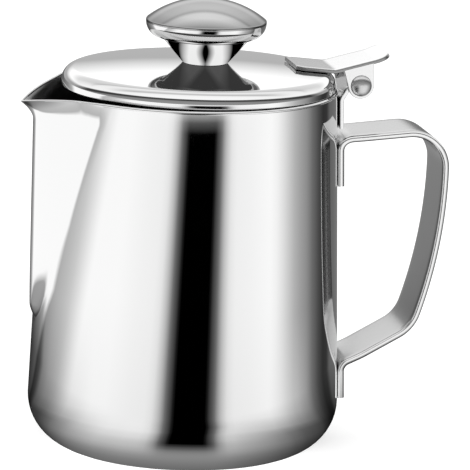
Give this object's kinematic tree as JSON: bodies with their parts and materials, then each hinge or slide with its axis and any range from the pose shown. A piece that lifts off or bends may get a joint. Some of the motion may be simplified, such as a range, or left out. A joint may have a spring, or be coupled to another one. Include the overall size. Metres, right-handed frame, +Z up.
{
  "type": "jug with hinged lid",
  "caption": "Polished steel jug for hot milk with a pouring lip, a D-shaped strip handle and a hinged lid that opens with a thumb lever and has a round knob.",
  "frame": {"origin": "middle of the flat underside of the base, on the surface that the jug stands on", "axes": "+Z up out of the mouth of the jug, +X towards the handle and the hinge, -X towards the pouring lip, +Y across"},
  "size_m": [0.145, 0.1048, 0.1525],
  "materials": {
    "polished_sheet": "mirror-polished stainless steel",
    "plain_steel": "plain turned steel"
  },
  "bodies": {
    "jug": {"jug_body": "polished_sheet", "handle": "polished_sheet", "hinge_bracket": "polished_sheet"},
    "lid": {"hinge_pin": "polished_sheet", "lid_cover": "polished_sheet", "lid_skirt": "polished_sheet", "lid_leaf": "polished_sheet", "knob_body": "polished_sheet", "knob_cap": "polished_sheet", "knob_boss": "plain_steel", "knob_screw": "plain_steel", "knob_washer": "plain_steel"}
  },
  "joints": [
    {"name": "lid_hinge", "type": "hinge", "parent": "jug", "child": "lid", "pos_m": [0.0557, 0, 0.1245], "axis": [0, 1, 0], "range_deg": [0, 100]}
  ]
}
